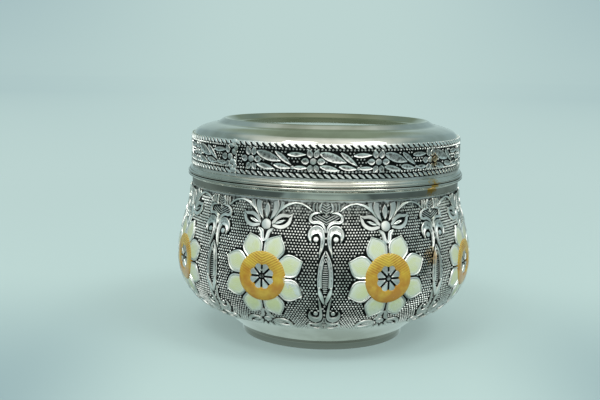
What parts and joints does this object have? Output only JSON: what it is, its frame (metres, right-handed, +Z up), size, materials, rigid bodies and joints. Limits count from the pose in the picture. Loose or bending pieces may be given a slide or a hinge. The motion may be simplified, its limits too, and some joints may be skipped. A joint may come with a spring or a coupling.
{
  "type": "round lidded box",
  "caption": "Round footed brass box with a bulging embossed and enamelled belly and a turned slip-over lid that lifts off.",
  "frame": {"origin": "centre of the foot ring's bottom face", "axes": "+Z up along the box's turning axis, front towards -Y, midway between two flowers"},
  "size_m": [0.1246, 0.1246, 0.0912],
  "materials": {
    "plated_brass_polished": "silver-coloured plating over spun brass, polished, lightly worn",
    "plated_brass_embossed": "silver-coloured plating over embossed brass, blackened in the hollows",
    "cream_enamel": "pale cream enamel over engraved lines, glossy",
    "amber_enamel": "orange yellow enamel, satin"
  },
  "bodies": {
    "box": {"foot_ring": "plated_brass_polished", "base_cup": "plated_brass_polished", "belly_shell": "plated_brass_embossed", "neck_ring": "plated_brass_polished", "seat_sleeve": "plated_brass_polished", "petal_enamel_1": "cream_enamel", "petal_enamel_2": "cream_enamel", "petal_enamel_3": "cream_enamel", "petal_enamel_4": "cream_enamel", "petal_enamel_5": "cream_enamel", "petal_enamel_6": "cream_enamel", "petal_enamel_7": "cream_enamel", "petal_enamel_8": "cream_enamel", "ring_enamel_1": "amber_enamel", "ring_enamel_2": "amber_enamel", "ring_enamel_3": "amber_enamel", "ring_enamel_4": "amber_enamel", "ring_enamel_5": "amber_enamel", "ring_enamel_6": "amber_enamel", "ring_enamel_7": "amber_enamel", "ring_enamel_8": "amber_enamel"},
    "lid": {"lid_flange": "plated_brass_polished", "lid_crown": "plated_brass_polished", "lid_strip": "plated_brass_embossed"}
  },
  "joints": [
    {"name": "lid_lift", "type": "slide", "parent": "box", "child": "lid", "axis": [0, 0, 1], "range_m": [0, 0.06]}
  ]
}
